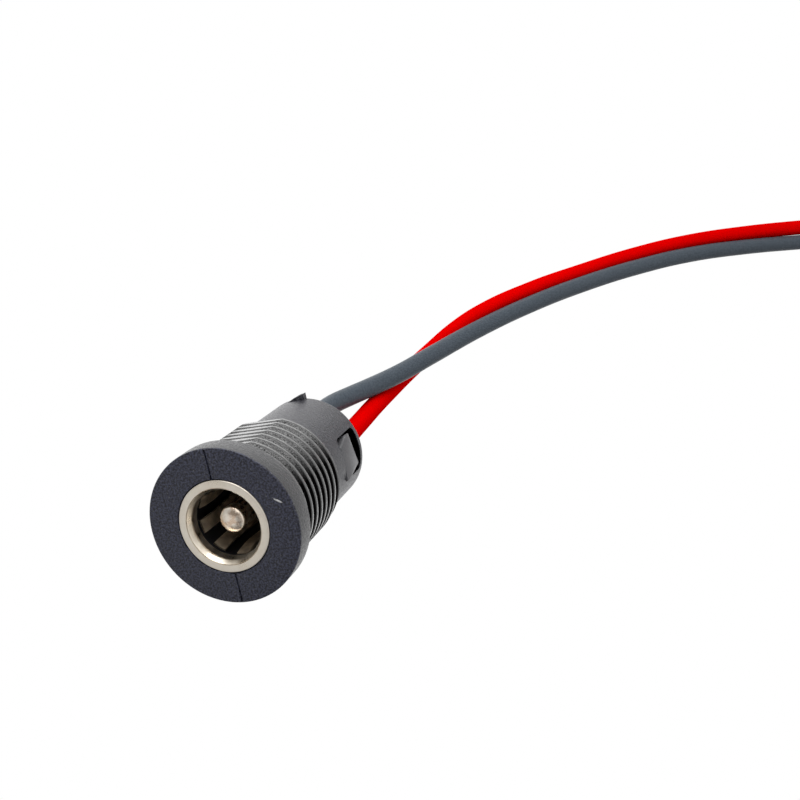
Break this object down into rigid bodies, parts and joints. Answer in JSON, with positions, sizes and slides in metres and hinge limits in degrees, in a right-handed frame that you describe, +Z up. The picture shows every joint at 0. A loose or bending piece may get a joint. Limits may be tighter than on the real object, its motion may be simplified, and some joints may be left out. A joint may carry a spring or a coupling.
{
  "type": "dc power socket",
  "caption": "Panel-mount round DC power socket: flanged threaded black barrel with side windows, nickel ring, centre pin, sealed rear and soldered red and black leads.",
  "frame": {"origin": "centre of the flange's rear face, where the socket sits against its panel", "axes": "+Y along the barrel from the front face to the leads, +Z up, windows above and below, parting line at +X and -X"},
  "size_m": [0.0139, 0.0991, 0.1202],
  "materials": {
    "housing_plastic": "fine moulded grain",
    "core_plastic": "satin moulded",
    "nickel": "bright nickel plate",
    "bronze": "plain spring strip",
    "solder": "dull frozen solder",
    "tinned_copper": "tinned strands",
    "potting": "cast resin",
    "black_insulation": "satin vinyl",
    "red_insulation": "satin vinyl"
  },
  "bodies": {
    "root": {"housing": "housing_plastic", "front_ring": "nickel", "insulator_core": "core_plastic", "centre_pin": "nickel", "spring_contact": "bronze", "positive_lug": "nickel", "positive_solder": "solder", "negative_solder": "solder", "black_conductor": "tinned_copper", "red_conductor": "tinned_copper", "rear_seal": "potting", "black_wire": "black_insulation", "red_wire": "red_insulation"}
  },
  "joints": []
}
